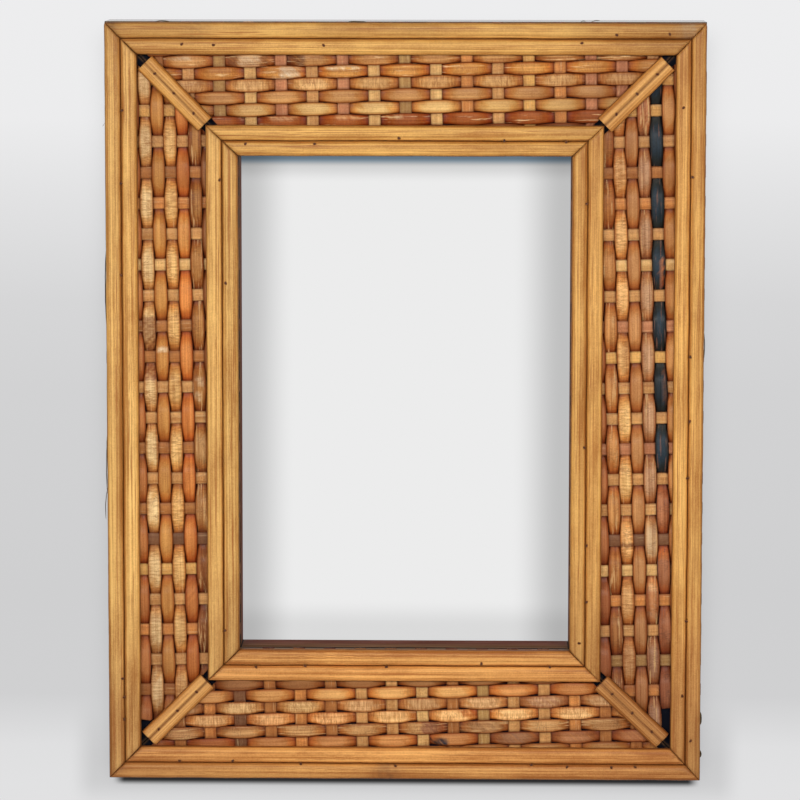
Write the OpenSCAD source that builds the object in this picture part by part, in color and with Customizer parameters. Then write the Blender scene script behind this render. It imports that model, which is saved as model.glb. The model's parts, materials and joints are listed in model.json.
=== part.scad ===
// Woven cane picture frame, upright, on a lacquered wooden base.
// The front faces -Y, +Z is up and +X is to the right seen from the front.
// The origin is where the wall nail bears, on the plane of the rails' back faces.
// Sides count 0 top, 1 right, 2 bottom, 3 left. Each side is modelled as the top one:
// u runs along it to the right and w runs outward from the middle of the frame.
// A corner has the number of the side that it ends, so corner 0 is the top right one.

/* [Picture] */
// Width of the picture that the rebate takes
picture_w = 127; // [110:1:150]
// Height of the picture that the rebate takes
picture_h = 178; // [160:1:210]
// Gap around the picture in its rebate
picture_gap = 0.75; // [0.25:0.25:1.5]
// How far the left and right rails cover the picture
side_lap = 7.5; // [5:0.5:9]
// How far the top and bottom rails cover the picture
end_lap = 5; // [3:0.5:8]

/* [Base rails] */
// Width of each base rail
rail_w = 45; // [43:0.5:50]
// Thickness of the base rails, front to back
rail_t = 20; // [16:0.5:26]
// Depth of the rebate behind the lip
rebate_d = 6; // [4:0.5:9]
// Gap left in every mitre
mitre_gap = 0.1; // [0.05:0.05:0.3]

/* [Border strips] */
// Width of the outer pair of strips on the top, right, bottom and left
outer_pair_w = [11.1, 10.4, 11.2, 11.1]; // [9:0.1:12]
// Width of the inner pair of strips on the top, right, bottom and left
inner_pair_w = [10.5, 10.8, 11, 11.1]; // [9:0.1:12]
// Height of a half-round strip
strip_h = 2.5; // [1.8:0.1:2.8]
// Gap between two strips side by side
strip_gap = 0.1; // [0.05:0.05:0.3]

/* [Corner battens] */
// Width of a corner batten
batten_w = 6.7; // [5:0.1:7]
// Height of a corner batten
batten_h = 2.2; // [1.6:0.1:2.8]
// Gap between a batten's end and the borders
batten_gap = 0.3; // [0.1:0.1:1]
// Width of the split along a batten
split_w = 0.5; // [0.3:0.1:0.8]
// Depth of the split along a batten
split_d = 0.3; // [0.1:0.1:0.5]

/* [Woven mat] */
// Width of a stake, the straight cross cane
stake_w = 4.1; // [3:0.1:5]
// Thickness of a stake
stake_t = 0.9; // [0.6:0.1:1.2]
// Clear space between two stakes
stake_space = 6.3; // [5.5:0.1:8]
// Width of a weaver, the cane that runs along the rail
weaver_w = 4; // [3.2:0.1:4.1]
// Thickness of a weaver
weaver_t = 0.8; // [0.5:0.1:1.1]
// Gap between two weavers side by side
weaver_gap = 0.15; // [0.1:0.05:0.4]
// Gap between a weaver and the stake it crosses
weave_gap = 0.05; // [0.02:0.01:0.1]
// How far the middle of a crossing arches above its ends
arch = 0.15; // [0.05:0.05:0.3]
// How far a weaver stays level past a stake's edge
level_run = 0.9; // [0.5:0.1:1.2]
// How far the mat stays short of each mitre
mat_mitre_gap = 2.6; // [2:0.1:2.8]
// How far the mat stays short of the rails' edges
mat_edge_gap = 0.1; // [0.05:0.05:0.5]
// Slant of the weavers on the top, right, bottom and left, in degrees
weave_slant = [1.15, 1.5, 1.55, 0.9]; // [-2:0.05:2]
// Distance from the inner border out to the middle of the last row on the top, right, bottom and left
last_row_out = [1.75, 3.3, 0.1, 2.3]; // [0:0.05:4]
// Shift of the stakes along the top, right, bottom and left
stake_shift = [0, 4.6, 4.2, -4.8]; // [-5:0.1:5]

/* [Pins] */
// Diameter of a pin's shank
pin_d = 0.9; // [0.6:0.1:1.2]
// Diameter of a pin's head
pin_head_d = 1.5; // [1.3:0.1:2]
// Thickness of a pin's head
pin_head_t = 0.5; // [0.3:0.1:0.6]
// Length of a pin's shank
pin_l = 12; // [9:0.5:14]
// How deep a head sinks into the cane
pin_sink = 0.35; // [0.2:0.05:0.6]
// Gap around a pin in its hole
pin_gap = 0.02; // [0.01:0.01:0.05]

/* [Corner fasteners] */
// Length of each leg of a corner fastener
leg_l = 5; // [4:0.5:6]
// Thickness of a corner fastener
leg_t = 0.5; // [0.3:0.1:0.8]
// Depth of a corner fastener in the rails
leg_d = 10; // [6:0.5:12]
// How far the first and second fastener lie from the rails' outer edges
leg_inset = [7, 27]; // [6:0.5:28]

/* [Sawtooth hanger] */
// Distance from the frame's top edge down to the nail
nail_drop = 12; // [9:0.5:13]
// Length of the hanger over its end tabs
hanger_l = 40; // [36:1:50]
// Height of the hanger above the nail
hanger_h = 6; // [4:0.5:7]
// Thickness of the hanger's plate
hanger_t = 0.7; // [0.5:0.1:1]
// Length of each end tab
tab_l = 5; // [4:0.5:7]
// Clear space between the raised bar and the rail
hanger_space = 1.4; // [1:0.1:2]
// Spacing of the teeth
tooth_pitch = 3; // [2:0.5:4]
// Depth of a tooth
tooth_d = 1.2; // [0.8:0.1:1.6]

/* [Turn buttons] */
// Distance from a button's pivot to the centre of its nose
nose_l = 10; // [8:0.5:12]
// Width of a turn button
button_w = 8; // [6:0.5:9]
// Thickness of a turn button
button_t = 1.2; // [0.8:0.1:2]
// Distance from a pivot to the edge of the rebate
pivot_setback = 7; // [5:0.5:8]
// Diameter of a screw's shank
screw_d = 2.6; // [2:0.1:3]
// Depth of a screw in the rail
screw_l = 10; // [6:0.5:12]
// Diameter of a screw's head
screw_head_d = 5.2; // [4.6:0.1:6]
// Height of a screw's head
screw_head_h = 1.5; // [1:0.1:2]
// Width of a screw's slot
slot_w = 0.8; // [0.5:0.1:1.2]
// Running gap around a turn button
button_gap = 0.1; // [0.05:0.05:0.2]

/* [Hidden] */
opening_w = picture_w - 2 * side_lap;
opening_h = picture_h - 2 * end_lap;
frame_w = opening_w + 2 * rail_w;
frame_h = opening_h + 2 * rail_w;
middle_z = nail_drop - frame_h / 2;

// Half the frame from its middle to the outer edge of each side, and half the rebate
half = [frame_h, frame_w, frame_h, frame_w] / 2;
rebate_w = picture_w + 2 * picture_gap;
rebate_h = picture_h + 2 * picture_gap;
half_rebate = [rebate_h, rebate_w, rebate_h, rebate_w] / 2;

// Heights of the layers behind the front, as places on the Y axis
weaver_pitch = weaver_w + weaver_gap;
stake_pitch = stake_w + stake_space;
rise = (stake_t + weaver_t) / 2 + weave_gap;
mat_t = 2 * (rise + arch) + weaver_t;
rail_y = -rail_t;
mat_y = rail_y - mat_t / 2;
border_y = rail_y - mat_t;

// Straight run of a weaver on each side of a stake's middle
over_run = stake_w / 2 + level_run;
// Smallest length of stake worth keeping at a corner
least_stake = 6;
// Room that a cut takes beyond the solid it goes through
cut = 1;
round_fn = 48;

// Rows of weavers that show on each side, and which of them cross over the middle stake
rows = [6, 6, 6, 5];
first_over = [0, 1, 1, 0];

// Pins along each groove: place as a share of half the side, and distance outward from the groove
outer_pins = [
    [[-0.74, -1.9], [-0.635, -2.2], [-0.27, -2.2], [0.165, -2.3], [0.585, -1.3], [0.7, 1.4], [0.875, 1.7]],
    [[-0.78, -2.6], [-0.6, 0.6], [-0.13, 0.4], [0.04, 0.4], [0.19, -0.1], [0.57, -0.1], [0.77, -1.2],
     [0.89, 1.8]],
    [[-0.78, 0.6], [-0.7, 0.8], [-0.55, 0.7], [-0.43, 0], [0.03, 0.6], [0.35, 0.1], [0.58, -0.8],
     [0.76, -0.7]],
    [[-0.84, 0.1], [-0.78, 0.1], [-0.73, 0.5], [0.34, 0.1], [0.58, 0], [0.77, -0.5]]];
inner_pins = [
    [[-0.53, -1], [-0.3, -1], [-0.02, 1], [0.33, 0.2], [0.535, -0.1]],
    [[-0.53, -0.3], [0.11, -0.6], [0.37, 0.3], [0.52, 0.4], [0.63, -2]],
    [[-0.49, 0], [-0.26, -1], [0.06, 0.2], [0.335, 0], [0.5, 0.4]],
    [[-0.6, -0.4], [0.32, -1.2], [0.59, 0.7]]];
batten_pins = [0.17, 0.49, 0.82];

// Cane colours, and the colour of each row of weavers from the outer edge inward
honey = [0.82, 0.61, 0.38];
straw = [0.88, 0.75, 0.55];
tan = [0.74, 0.55, 0.38];
amber = [0.80, 0.50, 0.27];
brown = [0.58, 0.35, 0.20];
olive = [0.62, 0.52, 0.34];
stained = [0.22, 0.22, 0.25];
lacquer = [0.13, 0.09, 0.09];
brass = [0.72, 0.58, 0.32];
steel = [0.42, 0.40, 0.38];
row_colours = [
    [tan, amber, straw, tan, straw, brown],
    [amber, stained, olive, tan, straw, tan],
    [amber, olive, straw, straw, amber, olive],
    [straw, tan, straw, amber, brown]];

SIDES = ["top", "right", "bottom", "left"];
CORNERS = ["top_right", "bottom_right", "bottom_left", "top_left"];

function next(i) = (i + 1) % 4;
function previous(i) = (i + 3) % 4;

// Lines around the frame: 0 outer edge, 1 outer groove, 2 and 3 the woven band, 4 inner groove, 5 opening
function inset(i, line) = [
    0, outer_pair_w[i] / 2, outer_pair_w[i],
    rail_w - inner_pair_w[i], rail_w - inner_pair_w[i] / 2, rail_w][line];
function level(i, line) = half[i] - inset(i, line);
function right_end(i, line) = level(next(i), line);
function left_end(i, line) = -level(previous(i), line);

// Mitred piece between two of the lines, short of each long edge by edge_gap
function mitred(i, outer, inner, edge_gap) = [
    [left_end(i, outer) + mitre_gap / 2, level(i, outer) - edge_gap],
    [right_end(i, outer) - mitre_gap / 2, level(i, outer) - edge_gap],
    [right_end(i, inner) - mitre_gap / 2, level(i, inner) + edge_gap],
    [left_end(i, inner) + mitre_gap / 2, level(i, inner) + edge_gap]];

// Radius of an arc from its chord and its height, and its height at a distance from the middle
function arc_r(chord, height) = (chord * chord / 4 + height * height) / (2 * height);
function arc_h(chord, height, x) = let (r = arc_r(chord, height)) sqrt(r * r - x * x) - (r - height);

module on_side(i) {
    translate([0, 0, middle_z]) rotate([0, 90 * i, 0]) children();
}

// Flat plate with the outline drawn in u and w, from its front to its back on the Y axis
module plate(points, front, back) {
    translate([0, back, 0]) rotate([90, 0, 0]) linear_extrude(back - front) polygon(points);
}

// Rod along the Y axis, from the given place towards the front, or towards the back
module rod_forward(y, d, l) {
    translate([0, y, 0]) rotate([90, 0, 0]) cylinder(d = d, h = l, $fn = round_fn);
}

module rod_back(y, d, l) {
    translate([0, y, 0]) rotate([-90, 0, 0]) cylinder(d = d, h = l, $fn = round_fn);
}

// Base rails and the fasteners across their mitres
module base_rail(i) {
    color(lacquer) difference() {
        on_side(i) plate(mitred(i, 0, 5, 0), rail_y, 0);
        rebate();
        on_side(i) {
            side_pins(i, pin_gap);
            corner_pins(i, pin_gap);
            rotate([0, -90, 0]) corner_pins(previous(i), pin_gap);
            corner_legs(i, pin_gap);
            rotate([0, -90, 0]) corner_legs(previous(i), pin_gap);
            button_screw(i, pin_gap);
        }
        if (i == 0) hanger_pins(pin_gap);
    }
}

module rebate() {
    translate([-rebate_w / 2, -rebate_d, middle_z - rebate_h / 2])
        cube([rebate_w, rebate_d + cut, rebate_h]);
}

module corner_legs(i, grow) {
    for (d = leg_inset) {
        translate([right_end(i, 0) - d, 0, level(i, 0) - d]) {
            translate([-leg_l - grow, -leg_d - grow, -leg_t / 2 - grow])
                cube([leg_l + leg_t / 2 + 2 * grow, leg_d + grow, leg_t + 2 * grow]);
            translate([-leg_t / 2 - grow, -leg_d - grow, -leg_l - grow])
                cube([leg_t + 2 * grow, leg_d + grow, leg_l + leg_t / 2 + 2 * grow]);
        }
    }
}

module corner_fasteners() {
    color(steel) for (i = [0:3]) on_side(i) corner_legs(i, 0);
}

// Woven mat: straight stakes across the rail, and weavers that pass over and under them
function row_inset(i, row) = inset(i, 3) - last_row_out[i] - (rows[i] - row) * weaver_pitch;
function weave_inset(i) = row_inset(i, (rows[i] + 1) / 2);
function stake_u(i, j) = stake_shift[i] + j * stake_pitch;
function is_over(i, row, j) = (abs(row + j) + first_over[i]) % 2 == 0;
function stake_reach(i) = ceil(half[next(i)] / stake_pitch) + 1;
function is_hidden(i, row) = (row < 1 || row > rows[i])
    && row_inset(i, row) > weaver_w / 2
    && row_inset(i, row) < rail_w - weaver_w / 2;

// Middle line of a weaver: level over each stake, sloping between, and arched where it is in sight
function weaver_line(i, row) = [
    for (j = [-stake_reach(i):stake_reach(i)])
        let (side = is_over(i, row, j) ? -1 : 1)
        for (step = is_hidden(i, row) ? [-1, 1] : [-1, -0.5, 0, 0.5, 1])
            [stake_u(i, j) + step * over_run, mat_y + side * (rise + arch * (1 - step * step))]];

module mat_outline(i) {
    run = half[next(i)] - mat_mitre_gap * sqrt(2);
    outer = half[i] - mat_edge_gap;
    inner = half[i] - rail_w + mat_edge_gap;
    plate([
        [-run + mat_edge_gap, outer], [run - mat_edge_gap, outer],
        [run - rail_w + mat_edge_gap, inner], [-run + rail_w - mat_edge_gap, inner]],
        border_y - cut, rail_y + cut);
}

module in_weave(i) {
    translate([0, 0, half[i] - weave_inset(i)]) rotate([0, -weave_slant[i], 0]) children();
}

module weaver(i, row) {
    line = weaver_line(i, row);
    outline = concat(
        [for (p = line) p - [0, weaver_t / 2]],
        [for (k = [len(line) - 1:-1:0]) line[k] + [0, weaver_t / 2]]);
    on_side(i) intersection() {
        in_weave(i) translate([0, 0, weave_inset(i) - row_inset(i, row) - weaver_w / 2])
            linear_extrude(weaver_w) polygon(outline);
        mat_outline(i);
    }
}

module visible_weaver(i, row) {
    color(row_colours[i][row - 1]) weaver(i, row);
}

module edge_weavers() {
    color(tan) for (i = [0:3]) for (row = [-4:rows[i] + 5]) if (is_hidden(i, row)) weaver(i, row);
}

module cross_stakes(i) {
    reach = half[next(i)] - mat_mitre_gap * sqrt(2) - stake_w / 2 - least_stake;
    color(tan) on_side(i) intersection() {
        in_weave(i) for (j = [-stake_reach(i):stake_reach(i)]) if (abs(stake_u(i, j)) < reach) {
            translate([stake_u(i, j), mat_y, 0]) cube([stake_w, stake_t, 2 * rail_w], center = true);
        }
        mat_outline(i);
    }
}

// Half-round border strips in pairs, and the battens across the corners of the woven band
module border_strip(i, outer, inner) {
    w = level(i, outer) - level(i, inner) - strip_gap;
    r = arc_r(w, strip_h);
    run = half[next(i)];
    color(honey) on_side(i) difference() {
        intersection() {
            plate(mitred(i, outer, inner, strip_gap / 2), border_y - strip_h - cut, border_y);
            translate([-run, border_y - strip_h + r, (level(i, outer) + level(i, inner)) / 2])
                rotate([0, 90, 0]) cylinder(r = r, h = 2 * run, $fn = round_fn);
        }
        side_pins(i, pin_gap);
    }
}

// A batten lies from the outer border's inside corner to the inner border's outside corner
function batten_from(i) = [right_end(i, 2), level(i, 2)];
function batten_to(i) = [right_end(i, 3), level(i, 3)];
function batten_angle(i) = let (d = batten_to(i) - batten_from(i)) atan2(d[1], d[0]);
batten_start = batten_w / 2 + batten_gap * sqrt(2);
function batten_l(i) = norm(batten_to(i) - batten_from(i)) - batten_start - batten_gap;

module along_batten(i) {
    translate([batten_from(i)[0], 0, batten_from(i)[1]]) rotate([0, -batten_angle(i), 0])
        translate([batten_start, 0, 0]) children();
}

module corner_batten(i) {
    r = arc_r(batten_w, batten_h);
    color(honey) on_side(i) difference() {
        along_batten(i) difference() {
            intersection() {
                translate([0, border_y - batten_h, -batten_w / 2]) cube([batten_l(i), batten_h, batten_w]);
                translate([-cut, border_y - batten_h + r, 0])
                    rotate([0, 90, 0]) cylinder(r = r, h = batten_l(i) + 2 * cut, $fn = round_fn);
            }
            translate([-cut, border_y - batten_h - cut, -split_w / 2])
                cube([batten_l(i) + 2 * cut, cut + split_d, split_w]);
        }
        corner_pins(i, pin_gap);
    }
}

// Pins through the cane into the rails, drawn larger by grow where they cut their holes
module pin(seat_y, grow) {
    rod_forward(seat_y, pin_head_d + 2 * grow, grow > 0 ? strip_h : pin_head_t);
    rod_back(seat_y - pin_head_t / 2, pin_d + 2 * grow, pin_head_t / 2 + pin_l + grow);
}

// Height of a strip under the outer edge of a pin's head, beside the groove
function seat_h(pair_w, d) = let (strip = (pair_w - 2 * strip_gap) / 2)
    arc_h(strip, strip_h, strip / 2 - min(strip / 2, abs(d) + pin_head_d / 2));

module side_pins(i, grow) {
    for (p = outer_pins[i]) {
        translate([p[0] * half[next(i)], 0, level(i, 1) + p[1]])
            pin(border_y - seat_h(outer_pair_w[i], p[1]) + pin_sink, grow);
    }
    for (p = inner_pins[i]) {
        translate([p[0] * half[next(i)], 0, level(i, 4) + p[1]])
            pin(border_y - seat_h(inner_pair_w[i], p[1]) + pin_sink, grow);
    }
}

module corner_pins(i, grow) {
    along_batten(i) for (share = batten_pins) translate([share * batten_l(i), 0, 0])
        pin(border_y - batten_h + split_d + pin_sink, grow);
}

module cane_pins() {
    color(steel) {
        for (i = [0:3]) on_side(i) {
            side_pins(i, 0);
            corner_pins(i, 0);
        }
        hanger_pins(0);
    }
}

// Sawtooth hanger on the back of the top rail, with the same pins through its tabs
hanger_z = -tooth_d;
bar_y = hanger_space + hanger_t;
tab_pin_x = hanger_l / 2 - tab_l / 2;

module hanger_pins(grow) {
    for (side = [-1, 1]) translate([side * tab_pin_x, 0, hanger_h / 2])
        mirror([0, 1, 0]) pin(-hanger_t, grow);
}

module sawtooth_hanger() {
    tab = hanger_l / 2;
    foot = tab - tab_l;
    bar = foot - bar_y;
    teeth = floor((bar - tooth_pitch) / tooth_pitch);
    color(brass) difference() {
        translate([0, 0, hanger_z]) linear_extrude(hanger_h - hanger_z) polygon([
            [-tab, 0], [-foot, 0], [-bar, hanger_space], [bar, hanger_space], [foot, 0], [tab, 0],
            [tab, hanger_t], [foot + hanger_t / 2, hanger_t], [bar + hanger_t / 2, bar_y],
            [-bar - hanger_t / 2, bar_y], [-foot - hanger_t / 2, hanger_t], [-tab, hanger_t]]);
        for (k = [-teeth:teeth]) translate([k * tooth_pitch, 0, 0])
            plate([[-tooth_pitch / 2, hanger_z], [0, 0], [tooth_pitch / 2, hanger_z], [0, hanger_z - cut]],
                hanger_space / 2, bar_y + cut);
        hanger_pins(pin_gap);
    }
}

// Turn buttons on the backs of the rails, parked clear of the rebate, and their screws
function pivot_w(i) = half_rebate[i] + pivot_setback;

module turn_button(i) {
    color(brass) on_side(i) translate([0, 0, pivot_w(i)]) difference() {
        union() {
            rod_back(button_gap, button_w, button_t);
            translate([nose_l, 0, 0]) rod_back(button_gap, button_w, button_t);
            translate([0, button_gap, -button_w / 2]) cube([nose_l, button_t, button_w]);
        }
        rod_back(button_gap - cut, screw_d + 2 * button_gap, button_t + 2 * cut);
    }
}

module button_screw(i, grow) {
    head_y = button_t + 2 * button_gap;
    r = arc_r(screw_head_d, screw_head_h);
    translate([0, 0, pivot_w(i)]) {
        rod_forward(head_y, screw_d + 2 * grow, head_y + screw_l + grow);
        intersection() {
            translate([0, head_y + screw_head_h - r, 0]) rotate([90, 0, 0]) sphere(r = r, $fn = round_fn);
            rod_back(head_y, screw_head_d, screw_head_h + cut);
        }
    }
}

module button_screws() {
    color(steel) difference() {
        for (i = [0:3]) on_side(i) button_screw(i, 0);
        for (i = [0:3]) on_side(i)
            translate([0, button_t + 2 * button_gap + screw_head_h, pivot_w(i)])
                cube([screw_head_d + cut, screw_head_h, slot_w], center = true);
    }
}

for (i = [0:3]) {
    base_rail(i);
    cross_stakes(i);
    for (row = [1:rows[i]]) visible_weaver(i, row);
    border_strip(i, 0, 1);
    border_strip(i, 1, 2);
    border_strip(i, 3, 4);
    border_strip(i, 4, 5);
    corner_batten(i);
    turn_button(i);
}
corner_fasteners();
edge_weavers();
cane_pins();
button_screws();
sawtooth_hanger();
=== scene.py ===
import json
import bpy
import numpy as np
from mathutils import Matrix, Vector

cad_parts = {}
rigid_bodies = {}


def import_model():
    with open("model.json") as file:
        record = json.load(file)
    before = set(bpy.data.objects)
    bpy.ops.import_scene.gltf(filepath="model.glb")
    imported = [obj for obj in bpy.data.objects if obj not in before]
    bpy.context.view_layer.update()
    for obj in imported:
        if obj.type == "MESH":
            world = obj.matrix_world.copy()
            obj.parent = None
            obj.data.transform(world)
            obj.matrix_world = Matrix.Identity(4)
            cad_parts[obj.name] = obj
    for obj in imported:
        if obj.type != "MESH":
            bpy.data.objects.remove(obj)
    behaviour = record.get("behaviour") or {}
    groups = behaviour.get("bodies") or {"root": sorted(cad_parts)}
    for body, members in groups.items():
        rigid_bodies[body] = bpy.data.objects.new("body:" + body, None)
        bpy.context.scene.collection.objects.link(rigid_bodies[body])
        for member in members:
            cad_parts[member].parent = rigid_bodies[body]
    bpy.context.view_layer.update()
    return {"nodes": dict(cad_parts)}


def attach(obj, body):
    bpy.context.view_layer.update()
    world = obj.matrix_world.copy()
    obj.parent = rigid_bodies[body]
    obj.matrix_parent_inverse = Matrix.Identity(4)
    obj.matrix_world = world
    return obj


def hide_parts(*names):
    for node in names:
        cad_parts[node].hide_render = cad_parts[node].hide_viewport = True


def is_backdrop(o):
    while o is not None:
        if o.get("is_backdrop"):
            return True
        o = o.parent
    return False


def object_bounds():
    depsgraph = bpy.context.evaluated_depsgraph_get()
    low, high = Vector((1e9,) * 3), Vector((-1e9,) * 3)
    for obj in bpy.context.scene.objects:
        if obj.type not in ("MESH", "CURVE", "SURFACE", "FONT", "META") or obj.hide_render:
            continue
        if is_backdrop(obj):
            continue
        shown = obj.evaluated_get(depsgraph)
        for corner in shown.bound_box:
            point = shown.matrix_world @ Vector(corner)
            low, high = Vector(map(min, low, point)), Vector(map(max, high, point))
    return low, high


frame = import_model()
mm = 0.001

# Millimetres. Sides run top, right, bottom, left; u runs along a side, w outward from the frame's middle,
# and y is depth, with the front at minus y. A corner i stands at the right end of side i.
layout = {"sides": ["top", "right", "bottom", "left"],
          "corners": ["top_right", "bottom_right", "bottom_left", "top_left"],
          "half": [129.0, 101.0, 129.0, 101.0], "middleZ": -117.0, "railWidth": 45.0,
          "outerPair": [11.1, 10.4, 11.2, 11.1], "innerPair": [10.5, 10.8, 11.0, 11.1],
          "borderY": -22.9, "matY": -21.45, "mitreGap": 0.1, "stripGap": 0.1}


def inset(i, line):
    # distance in from the outer edge: 0 edge, 1 outer groove, 2 and 3 the woven band, 4 inner groove, 5 opening
    outer, inner, rail = layout["outerPair"][i], layout["innerPair"][i], layout["railWidth"]
    return [0, outer / 2, outer, rail - inner, rail - inner / 2, rail][line]


def level(i, line):
    return layout["half"][i] - inset(i, line)


def endOf(i, line, right=True):
    # u where a line of the neighbouring side crosses this one
    return level((i + 1) % 4, line) if right else -level((i + 3) % 4, line)


def stacked(*parts):
    return np.stack(np.broadcast_arrays(*parts), -1)


# cosine and sine of each side's turn about the frame's middle
turns = [(1, 0), (0, 1), (-1, 0), (0, -1)]


def toFrame(i, u, y, w):
    # turns a side's own u, y, w by 90 degrees per side about the frame's middle, into metres
    c, s = turns[i]
    return stacked(u * c + w * s, y, layout["middleZ"] - u * s + w * c) * mm


def colour(r, g, b):
    # screen colour 0 to 255 into linear light
    v = np.array([r, g, b]) / 255
    return np.where(v <= 0.04045, v / 12.92, ((v + 0.055) / 1.055) ** 2.4)


def smooth(low, high, x):
    # ramp from 0 at low to 1 at high, level at both ends
    t = np.clip((x - low) / (high - low), 0, 1)
    return t * t * (3 - 2 * t)


def drift(x, seed, size):
    # slow random wave between about -1 and 1: five sines of mixed lengths around the given size
    r = np.random.default_rng(seed)
    lengths, phases = size * r.uniform(0.6, 2.6, 5), r.uniform(0, 2 * np.pi, 5)
    return sum(np.sin(2 * np.pi * x / l + p) for l, p in zip(lengths, phases)) / 2.6


# light lost at the left and right end of each side, the share of the run where it starts, and powers for the hue
ageLook = {"loss": [(0.18, 0.24), (0.18, 0.38), (0.18, 0.27), (0.30, 0.17)], "from": 0.4, "hue": (1.0, 1.2, 1.05)}


def aged(i, u, reach, amount=1.0):
    # cane darkens and reddens towards the corners: 1 less a loss times a soft ramp over the outer part of the run
    left, right = ageLook["loss"][i]
    low = ageLook["from"]
    light = 1 - amount * (left * smooth(low, 1.0, -u / reach) + right * smooth(low, 1.0, u / reach))
    return light[..., None] ** np.array(ageLook["hue"])


def shaded(tint, share, by):
    # the tint, times by where the share is 1
    return tint * (1 - share[..., None] * (1 - np.array(by)))


def covered(tint, share, shade):
    return tint * (1 - share[..., None]) + colour(*shade) * share[..., None]


def opaque(tint):
    return np.concatenate([tint, np.ones(tint.shape[:-1] + (1,))], -1)


def stations(length, step, ends=(0.0, 0.12, 0.3, 0.6)):
    # shares of a length from 0 to 1, evenly stepped, with a few more close to both ends
    extra = np.array(ends) / length
    middle = np.linspace(0, 1, max(int(length / step), 2) + 1)[1:-1]
    middle = middle[(middle > extra[-1]) & (middle < 1 - extra[-1])]
    return np.concatenate([extra, middle, 1 - extra[::-1]])


def newObject(name, data):
    made = bpy.data.objects.new(name, data)
    bpy.context.scene.collection.objects.link(made)
    return made


def makePiece(name, tubes, material, nodes=(), sharp=50):
    # mesh from closed tubes: points are rings along the piece, each ring a closed section; sharp is in degrees
    points, quads, capsList, start = [], [], [], 0
    for t in tubes:
        p = t["points"]
        n, m = p.shape[:2]
        k, q = np.arange(n - 1)[:, None] * m, np.arange(m)[None, :]
        r = (q + 1) % m
        face = stacked(k + q, k + r, k + m + r, k + m + q).reshape(-1, 4)
        flat = p.reshape(-1, 3) - p.reshape(-1, 3).mean(0)
        caps = np.stack([np.arange(m)[::-1], np.arange(m) + (n - 1) * m])
        a, b, c, d = (flat[face[:, s]] for s in range(4))
        volume = (a * np.cross(b, c)).sum() + (a * np.cross(c, d)).sum()
        if volume < 0:  # faces must point outward
            face, caps = face[:, ::-1], caps[:, ::-1]
        points.append(p.reshape(-1, 3))
        quads.append(face + start)
        capsList.append(caps + start)
        start += n * m
    quads = np.concatenate(quads)
    corners = np.concatenate([quads.ravel()] + [c.ravel() for c in capsList])
    sizes = np.concatenate([np.full(len(quads), 4)] + [np.full(2, c.shape[1]) for c in capsList])
    mesh = bpy.data.meshes.new(name)
    mesh.vertices.add(start)
    mesh.loops.add(len(corners))
    mesh.polygons.add(len(sizes))
    mesh.vertices.foreach_set("co", np.concatenate(points).astype(np.float32).ravel())
    mesh.loops.foreach_set("vertex_index", corners.astype(np.int32))
    mesh.polygons.foreach_set("loop_start", np.concatenate([[0], np.cumsum(sizes)[:-1]]).astype(np.int32))
    mesh.polygons.foreach_set("loop_total", sizes.astype(np.int32))
    for key, kind, field, width in (("grain", "FLOAT_VECTOR", "vector", (3,)), ("soilAndShade", "FLOAT", "value", ()),
                                    ("tint", "FLOAT_COLOR", "color", (4,))):
        data = [np.broadcast_to(t[key], t["points"].shape[:2] + width).ravel() for t in tubes]
        mesh.attributes.new(key, kind, "POINT").data.foreach_set(field, np.concatenate(data).astype(np.float32))
    mesh.update(calc_edges=True)
    mesh.validate()
    mesh.shade_smooth()
    mesh.set_sharp_from_angle(angle=np.radians(sharp))
    piece = newObject(name, mesh)
    mesh.materials.append(material)
    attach(piece, "frame")
    if nodes:
        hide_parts(*nodes)
    return piece


def put(tree, kind, settings=None, inputs=None):
    # one shader node; an input is a value or another node's output
    made = tree.nodes.new("ShaderNode" + kind)
    for key, value in (settings or {}).items():
        setattr(made, key, value)
    for key, value in (inputs or {}).items():
        if isinstance(value, bpy.types.NodeSocket):
            tree.links.new(value, made.inputs[key])
        else:
            made.inputs[key].default_value = value
    return made


# the next functions find the tree through the outputs that they are given
def calc(operation, a, b=0.0, clamp=False):
    tree = (a if isinstance(a, bpy.types.NodeSocket) else b).id_data
    return put(tree, "Math", {"operation": operation, "use_clamp": clamp}, {0: a, 1: b}).outputs[0]


def times(a, b, clamp=False):
    return calc("MULTIPLY", a, b, clamp)


def plus(a, b, clamp=False):
    return calc("ADD", a, b, clamp)


def minus(a, b):
    return calc("SUBTRACT", a, b)


def scaled(vector, by):
    return put(vector.id_data, "VectorMath", {"operation": "MULTIPLY"}, {0: vector, 1: by}).outputs[0]


def ramp(value, low, high, toLow=0.0, toHigh=1.0):
    # value between low and high becomes toLow to toHigh, with soft ends
    return put(value.id_data, "MapRange", {"interpolation_type": "SMOOTHSTEP"},
               {0: value, 1: low, 2: high, 3: toLow, 4: toHigh}).outputs[0]


def blendIn(share, a, b):
    return put(share.id_data, "Mix", {"data_type": "RGBA"}, {0: share, 6: a, 7: b}).outputs[2]


def noiseAt(vector, scale, detail=2.0, roughness=0.5, stretch=None):
    vector = scaled(vector, stretch) if stretch else vector
    return put(vector.id_data, "TexNoise", None,
               {"Vector": vector, "Scale": scale, "Detail": detail, "Roughness": roughness}).outputs["Fac"]


def objectPlace(tree):
    return put(tree, "TexCoord").outputs["Object"]


def paint(r, g, b):
    return (*colour(r, g, b), 1)


def newFinish(name, roughness=0.5, specular=0.5, metallic=0.0):
    material = bpy.data.materials.new(name)
    material.use_nodes = True
    tree = material.node_tree
    shader = tree.nodes["Principled BSDF"]
    shader.inputs["Roughness"].default_value = roughness
    shader.inputs["Specular IOR Level"].default_value = specular
    shader.inputs["Metallic"].default_value = metallic
    return material, tree, shader


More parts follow.
